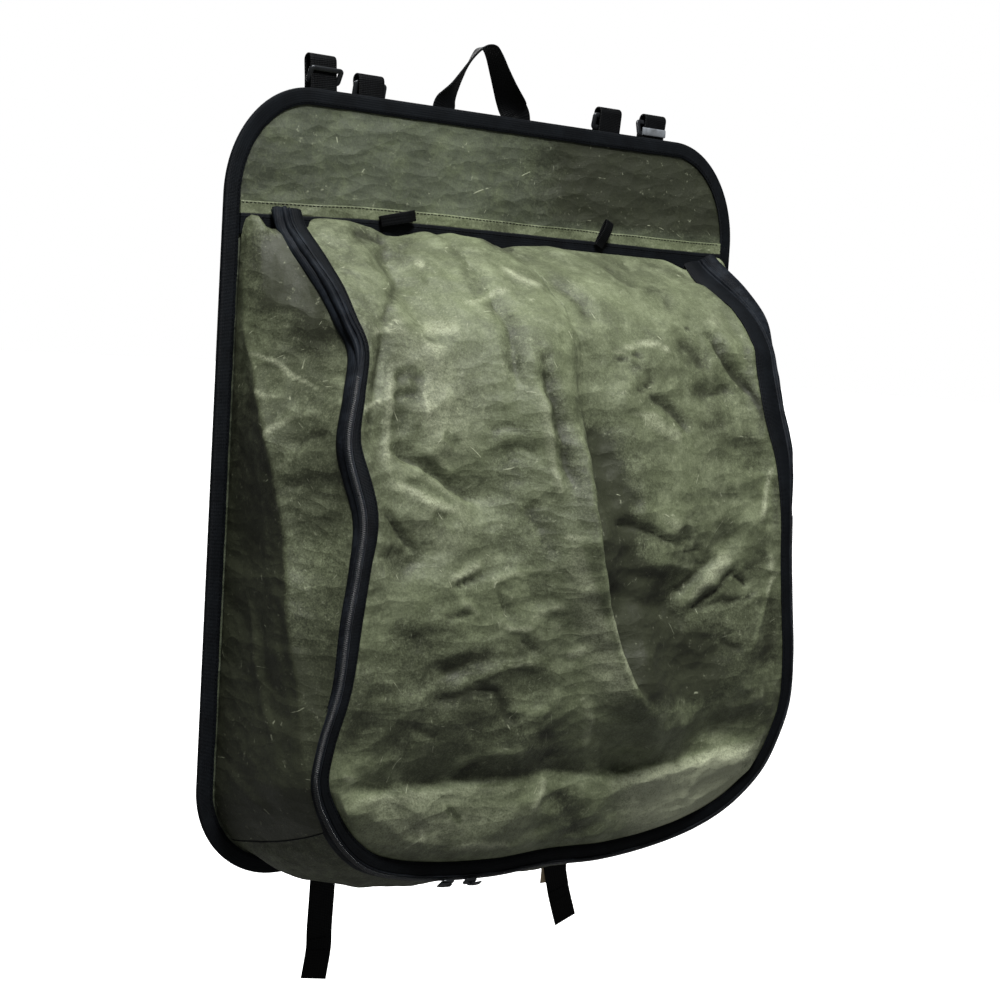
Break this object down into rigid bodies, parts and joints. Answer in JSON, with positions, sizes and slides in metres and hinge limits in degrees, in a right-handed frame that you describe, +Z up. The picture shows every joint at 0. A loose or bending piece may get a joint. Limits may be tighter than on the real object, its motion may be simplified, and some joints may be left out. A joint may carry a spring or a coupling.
{
  "type": "canvas storage bag",
  "caption": "Hanging storage bag of waxed canvas with a rounded back panel, a deep soft front that zips round three sides, a webbing handle and strap ends.",
  "frame": {"origin": "the underside of the handle's bend, where the bag hangs on a hook", "axes": "+Z up, the bag's front faces -Y, +X to the right when facing the front"},
  "size_m": [0.5446, 0.1938, 0.7935],
  "materials": {
    "canvas": "olive waxed cotton canvas with scuffed wax and a soft sheen",
    "webbing": "black woven nylon webbing",
    "binding": "blue-black grosgrain tape, stitched",
    "zip": "black coil zip on woven tape",
    "metal": "brushed grey metal slider frames",
    "label": "plain beige woven tab, blank"
  },
  "bodies": {
    "root": {"back_panel": "canvas", "back_binding": "binding", "top_band": "canvas", "top_tape": "binding", "front_panel": "canvas", "front_binding": "binding", "zip_chain": "zip", "zip_tape": "zip", "zip_slider_left": "zip", "zip_slider_right": "zip", "gusset_left": "canvas", "gusset_right": "canvas", "gusset_bottom": "canvas", "handle": "webbing", "top_strap_one": "webbing", "top_strap_two": "webbing", "top_strap_three": "webbing", "top_strap_four": "webbing", "top_buckle_one": "metal", "top_buckle_two": "metal", "top_buckle_three": "metal", "top_buckle_four": "metal", "keeper_loop_left": "webbing", "keeper_loop_right": "webbing", "bottom_strap_left": "webbing", "bottom_strap_right": "webbing", "side_label": "label"}
  },
  "joints": []
}
